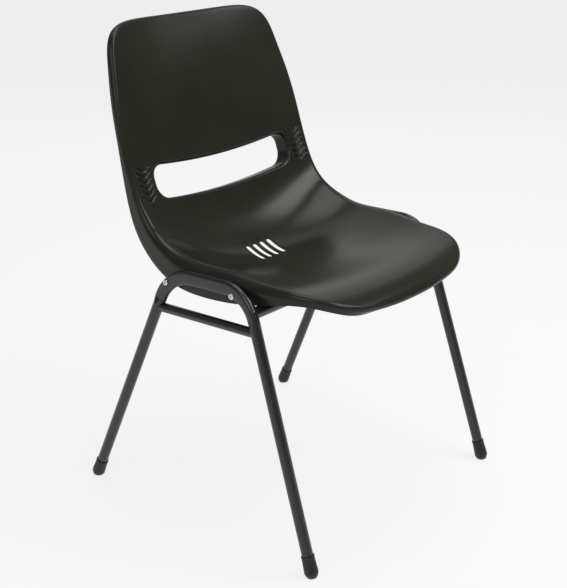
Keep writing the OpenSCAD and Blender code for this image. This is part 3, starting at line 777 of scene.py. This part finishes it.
def fixingBoss(p):
    radius, hole, edge, depth = boss["radius"], boss["hole"], boss["edge"], boss["depth"]
    piece = turnedPiece("boss", [(hole, 0), (radius - edge, 0), (radius, edge), (radius, boss["length"]),
                                 (boss["root"], depth), (hole, depth), (hole, 0)], boss["corners"])
    lay = Matrix.Rotation(-math.pi / 2, 4, "Y")
    inside = -tube["pressWidth"] / 2 - shell["gap"]
    return place(piece, sidePlace @ Matrix.Translation((inside, p[0], p[1])) @ lay)


frontScrew = frontCorner + np.array([screws["frontBack"], -screws["frontDrop"]])
rearScrew = rearCorner + np.array([screws["rearBack"], -screws["rearDrop"]])
screwPieces, bosses = {}, []
for end, p in (("front", frontScrew), ("rear", rearScrew)):
    left = panScrew("pan_screw_" + end + "_left", p)
    screwPieces["screw_" + end + "_left"] = left
    screwPieces["screw_" + end + "_right"] = mirrorOf(left, "pan_screw_" + end + "_right")
    leftBoss = fixingBoss(p)
    bosses += [leftBoss, mirrorOf(leftBoss, "boss")]
for piece in [*tipPieces.values(), *screwPieces.values(), *bosses]:
    smoothBelow(piece, 38)
seatShell = joined([seatShell, *bosses], "moulded_shell")
print("screws and bosses set")


# materials
def srgb(code):  # a hex colour as the linear numbers that a shader takes
    parts = [int(code[i:i + 2], 16) / 255 for i in (1, 3, 5)]
    return [p / 12.92 if p <= 0.04045 else ((p + 0.055) / 1.055) ** 2.4 for p in parts] + [1]


def addNode(tree, kind, settings=None, inputs=None, stops=()):
    node = tree.nodes.new(kind)
    for key, value in (settings or {}).items():
        setattr(node, key, value)
    for key, value in (inputs or {}).items():
        socket = node.inputs[key]
        if isinstance(value, bpy.types.NodeSocket):
            tree.links.new(value, socket)
        else:
            socket.default_value = value
    for element, (position, code) in zip(node.color_ramp.elements if stops else (), stops):
        element.position, element.color = position, srgb(code)
    return node


def newMaterial(name):
    material = bpy.data.materials.new(name)
    material.use_nodes = True
    material.node_tree.nodes.clear()
    return material, material.node_tree


def mouldedPolypropylene():  # spark-eroded mould face: an even fine grain that breaks up a waxy sheen
    material, tree = newMaterial("moulded_polypropylene")
    spot = addNode(tree, "ShaderNodeTexCoord").outputs["Object"]
    cloud = addNode(tree, "ShaderNodeTexNoise", inputs={
        "Vector": spot, "Scale": 9, "Detail": 3, "Roughness": 0.55})  # flow shades about 110 mm across
    # the real grain is about 0.4 mm, and it is drawn at 1.6 mm so that it shows
    grain = addNode(tree, "ShaderNodeTexNoise", inputs={
        "Vector": spot, "Scale": 620, "Detail": 2, "Roughness": 0.6})
    colour = addNode(tree, "ShaderNodeValToRGB", inputs={"Fac": cloud.outputs["Fac"]},
                     stops=[(0.1, "#1e1e17"), (0.9, "#292920")])
    gloss = addNode(tree, "ShaderNodeMapRange", inputs={
        "Value": cloud.outputs["Fac"], "From Min": 0.1, "From Max": 0.9, "To Min": 0.19, "To Max": 0.29})
    bump = addNode(tree, "ShaderNodeBump", inputs={
        "Height": grain.outputs["Fac"], "Strength": 0.06, "Distance": 0.0004})
    shader = addNode(tree, "ShaderNodeBsdfPrincipled", inputs={
        "Base Color": colour.outputs["Color"], "Roughness": gloss.outputs["Result"], "IOR": 1.49,
        "Specular IOR Level": 0.26, "Normal": bump.outputs["Normal"]})
    addNode(tree, "ShaderNodeOutputMaterial", inputs={"Surface": shader.outputs[0]})
    return material


def powderCoat():  # baked black powder over steel: a tight orange peel under a satin gloss
    material, tree = newMaterial("powder_coated_steel")
    spot = addNode(tree, "ShaderNodeTexCoord").outputs["Object"]
    peel = addNode(tree, "ShaderNodeTexNoise", inputs={
        "Vector": spot, "Scale": 480, "Detail": 1.5, "Roughness": 0.5})  # peel about 2 mm across
    cloud = addNode(tree, "ShaderNodeTexNoise", inputs={"Vector": spot, "Scale": 22, "Detail": 2})
    colour = addNode(tree, "ShaderNodeValToRGB", inputs={"Fac": cloud.outputs["Fac"]},
                     stops=[(0.1, "#0e0f10"), (0.9, "#171819")])
    gloss = addNode(tree, "ShaderNodeMapRange", inputs={
        "Value": cloud.outputs["Fac"], "From Min": 0.1, "From Max": 0.9, "To Min": 0.2, "To Max": 0.3})
    bump = addNode(tree, "ShaderNodeBump", inputs={
        "Height": peel.outputs["Fac"], "Strength": 0.1, "Distance": 0.0004})
    shader = addNode(tree, "ShaderNodeBsdfPrincipled", inputs={
        "Base Color": colour.outputs["Color"], "Roughness": gloss.outputs["Result"], "IOR": 1.6,
        "Normal": bump.outputs["Normal"]})
    addNode(tree, "ShaderNodeOutputMaterial", inputs={"Surface": shader.outputs[0]})
    return material


def tipRubber():  # moulded rubber: matt, with dust rubbed into it near the floor
    material, tree = newMaterial("moulded_rubber")
    spot = addNode(tree, "ShaderNodeTexCoord").outputs["Object"]
    height = addNode(tree, "ShaderNodeSeparateXYZ", inputs={"Vector": spot})
    speck = addNode(tree, "ShaderNodeTexNoise", inputs={
        "Vector": spot, "Scale": 700, "Detail": 2})  # 1.4 mm specks
    low = addNode(tree, "ShaderNodeMapRange", inputs={
        "Value": height.outputs["Z"], "From Min": 0.0, "From Max": 0.006, "To Min": 0.7, "To Max": 0.0})
    dusty = addNode(tree, "ShaderNodeMath", {"operation": "MULTIPLY"}, {
        0: low.outputs["Result"], 1: speck.outputs["Fac"]})
    colour = addNode(tree, "ShaderNodeValToRGB", inputs={"Fac": dusty.outputs["Value"]},
                     stops=[(0, "#131314"), (1, "#363533")])
    bump = addNode(tree, "ShaderNodeBump", inputs={
        "Height": speck.outputs["Fac"], "Strength": 0.15, "Distance": 0.0003})
    shader = addNode(tree, "ShaderNodeBsdfPrincipled", inputs={
        "Base Color": colour.outputs["Color"], "Roughness": 0.5, "Normal": bump.outputs["Normal"]})
    addNode(tree, "ShaderNodeOutputMaterial", inputs={"Surface": shader.outputs[0]})
    return material


def zincPlate():  # bright zinc over a cold-headed screw: clear metal with faint scuffs
    material, tree = newMaterial("bright_zinc_plate")
    spot = addNode(tree, "ShaderNodeTexCoord").outputs["Object"]
    scuff = addNode(tree, "ShaderNodeTexNoise", inputs={
        "Vector": spot, "Scale": 900, "Detail": 3})  # 1 mm scuffs
    colour = addNode(tree, "ShaderNodeValToRGB", inputs={"Fac": scuff.outputs["Fac"]},
                     stops=[(0.35, "#c9c9c6"), (0.65, "#e2e2df")])
    gloss = addNode(tree, "ShaderNodeMapRange", inputs={
        "Value": scuff.outputs["Fac"], "To Min": 0.18, "To Max": 0.36})
    shader = addNode(tree, "ShaderNodeBsdfPrincipled", inputs={
        "Base Color": colour.outputs["Color"], "Metallic": 1, "Roughness": gloss.outputs["Result"]})
    addNode(tree, "ShaderNodeOutputMaterial", inputs={"Surface": shader.outputs[0]})
    return material


def dress(piece, material, slotName, *nodes):
    piece.data.materials.clear()
    piece.data.materials.append(material)
    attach(piece, "root")
    if nodes:
        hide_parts(*nodes)


plastic, coat, rubber, zinc = mouldedPolypropylene(), powderCoat(), tipRubber(), zincPlate()
dress(seatShell, plastic, "shell_plastic", "seat_shell")
dress(sideTube, coat, "frame_coat", "side_frame_left")
dress(otherTube, coat, "frame_coat", "side_frame_right")
dress(stretcherLeft, coat, "frame_coat", "stretcher_left")
dress(stretcherRight, coat, "frame_coat", "stretcher_right")
dress(crossBar, coat, "frame_coat", "cross_tube")
for piece in (beadsLeft, beadsRight, crossBeads):
    dress(piece, coat, "frame_coat")
for node, piece in tipPieces.items():
    dress(piece, rubber, "tip_rubber", node)
for node, piece in screwPieces.items():
    dress(piece, zinc, "zinc", node)
print("materials on")

# a plain studio: pale floor, soft lamps and the camera at the picture's place
studio = {
    "cameraBack": (-49.11, 21.25), "cameraAt": (-1460.3, -1214.2, 1091.1), "lens": 70.4, "sensor": 36,
    "clip": (0.05, 60), "aim": (0, 0, 0.45), "floor": "#f2f2f1", "floorSize": 300,
    "glow": 0.8, "world": 0.27,  # how bright the floor is to rays that see it, and the plain world's strength
    # each lamp's name, its way from the chair as degrees round and up, metres off, metres wide, watts
    "lamps": [
        ("key", (41, 49), 2.6, 1, 20), ("top", (110, 81), 2.6, 1.4, 20), ("rear", (130, 34), 2.7, 2.2, 8),
        ("fill", (-70, 36), 3, 2, 18), ("strip", (8, 38), 2.6, 0.7, 8),
    ],
}
clearSelection()
bpy.ops.mesh.primitive_plane_add(size=studio["floorSize"], location=(0, 0, 0))
floor = bpy.context.object
floor.name = "studio_floor"
material, tree = newMaterial("pale_floor")
paths = addNode(tree, "ShaderNodeLightPath")
soft = addNode(tree, "ShaderNodeBsdfDiffuse", inputs={"Color": srgb(studio["floor"])})
glow = addNode(tree, "ShaderNodeEmission", inputs={"Color": (1, 1, 1, 1), "Strength": 1})
seen = addNode(tree, "ShaderNodeMath", {"operation": "ADD"}, {
    0: paths.outputs["Is Camera Ray"], 1: paths.outputs["Is Glossy Ray"]})
seen = addNode(tree, "ShaderNodeMath", {"operation": "ADD", "use_clamp": True}, {
    0: seen.outputs["Value"], 1: paths.outputs["Is Transmission Ray"]})
share = addNode(tree, "ShaderNodeMath", {"operation": "MULTIPLY"}, {
    0: seen.outputs["Value"], 1: studio["glow"]})
mix = addNode(tree, "ShaderNodeMixShader", inputs={
    0: share.outputs["Value"], 1: soft.outputs[0], 2: glow.outputs[0]})
addNode(tree, "ShaderNodeOutputMaterial", inputs={"Surface": mix.outputs[0]})
floor.data.materials.append(material)

world = bpy.data.worlds.new("studio_air")
bpy.context.scene.world = world
world.use_nodes = True
world.node_tree.nodes.clear()
air = addNode(world.node_tree, "ShaderNodeBackground", inputs={
    "Color": (1, 1, 1, 1), "Strength": studio["world"]})
addNode(world.node_tree, "ShaderNodeOutputWorld", inputs={"Surface": air.outputs[0]})


def wayOf(turn, rise):  # degrees round from the front towards the left side, and up
    turn, rise = math.radians(turn), math.radians(rise)
    return Vector((math.sin(turn) * math.cos(rise), -math.cos(turn) * math.cos(rise), math.sin(rise)))


for name, way, far, size, power in studio["lamps"]:
    light = bpy.data.lights.new(name, "AREA")
    light.size, light.energy = size, power
    lamp = bpy.data.objects.new(name, light)
    lamp.location = Vector(studio["aim"]) + wayOf(*way) * far
    lamp.rotation_euler = wayOf(*way).to_track_quat("Z", "Y").to_euler()
    bpy.context.scene.collection.objects.link(lamp)

lens = bpy.data.cameras.new("camera")
lens.lens, lens.sensor_width = studio["lens"], studio["sensor"]
lens.clip_start, lens.clip_end = studio["clip"]
camera = bpy.data.objects.new("camera", lens)
camera.location = (Vector(studio["cameraAt"]) + Vector((0, datumY, 0))) * mm
camera.rotation_mode = "QUATERNION"
camera.rotation_quaternion = (-wayOf(*studio["cameraBack"])).to_track_quat("-Z", "Y")
bpy.context.scene.collection.objects.link(camera)
bpy.context.scene.camera = camera
bpy.context.scene.view_settings.view_transform = "Standard"
